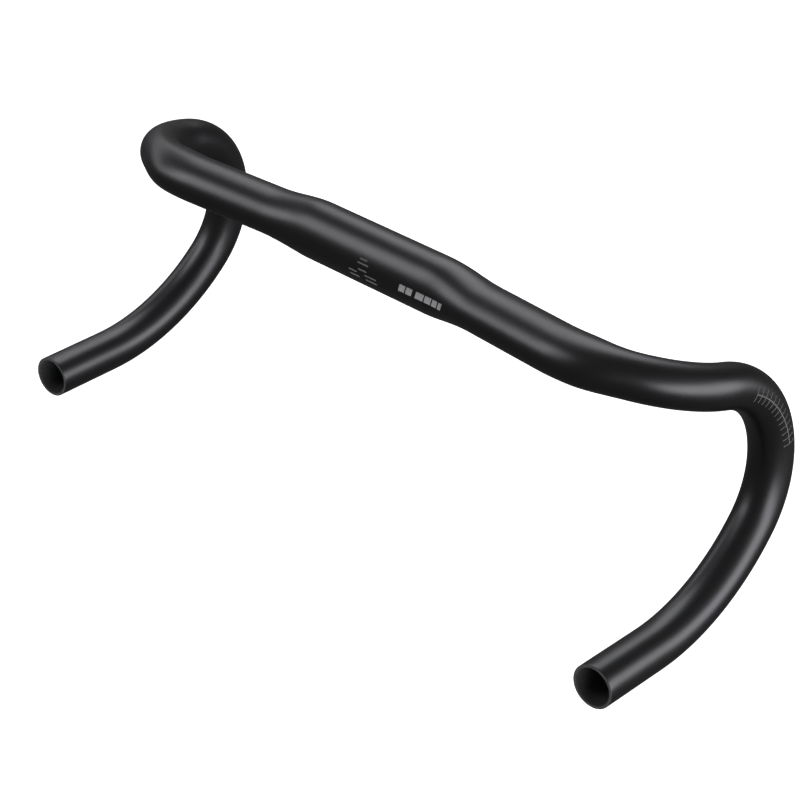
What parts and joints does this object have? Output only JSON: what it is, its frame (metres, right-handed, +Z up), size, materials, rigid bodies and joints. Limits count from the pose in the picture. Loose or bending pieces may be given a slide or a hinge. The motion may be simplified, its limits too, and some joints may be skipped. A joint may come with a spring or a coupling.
{
  "type": "drop handlebar",
  "caption": "Bare ergonomic drop handlebar: one bent tube with a round stem clamp zone, swept oval tops, short ramps, curved hooks and open-ended drops.",
  "frame": {"origin": "centre of the stem clamp zone, on the tube's axis", "axes": "+X along the clamp zone's axis to the rider's right, +Y forwards, +Z up, with the tops level as fitted on a bicycle"},
  "size_m": [0.4238, 0.1589, 0.1642],
  "materials": {
    "bar_finish": "fine blasted and black anodised, satin",
    "print_white": "light grey printed ink",
    "print_grey": "mid grey printed ink"
  },
  "bodies": {
    "root": {"bar_tube": "bar_finish", "size_mark": "print_white", "series_mark": "print_white", "data_lines": "print_grey", "lever_scale_right": "print_grey", "lever_scale_left": "print_grey"}
  },
  "joints": []
}
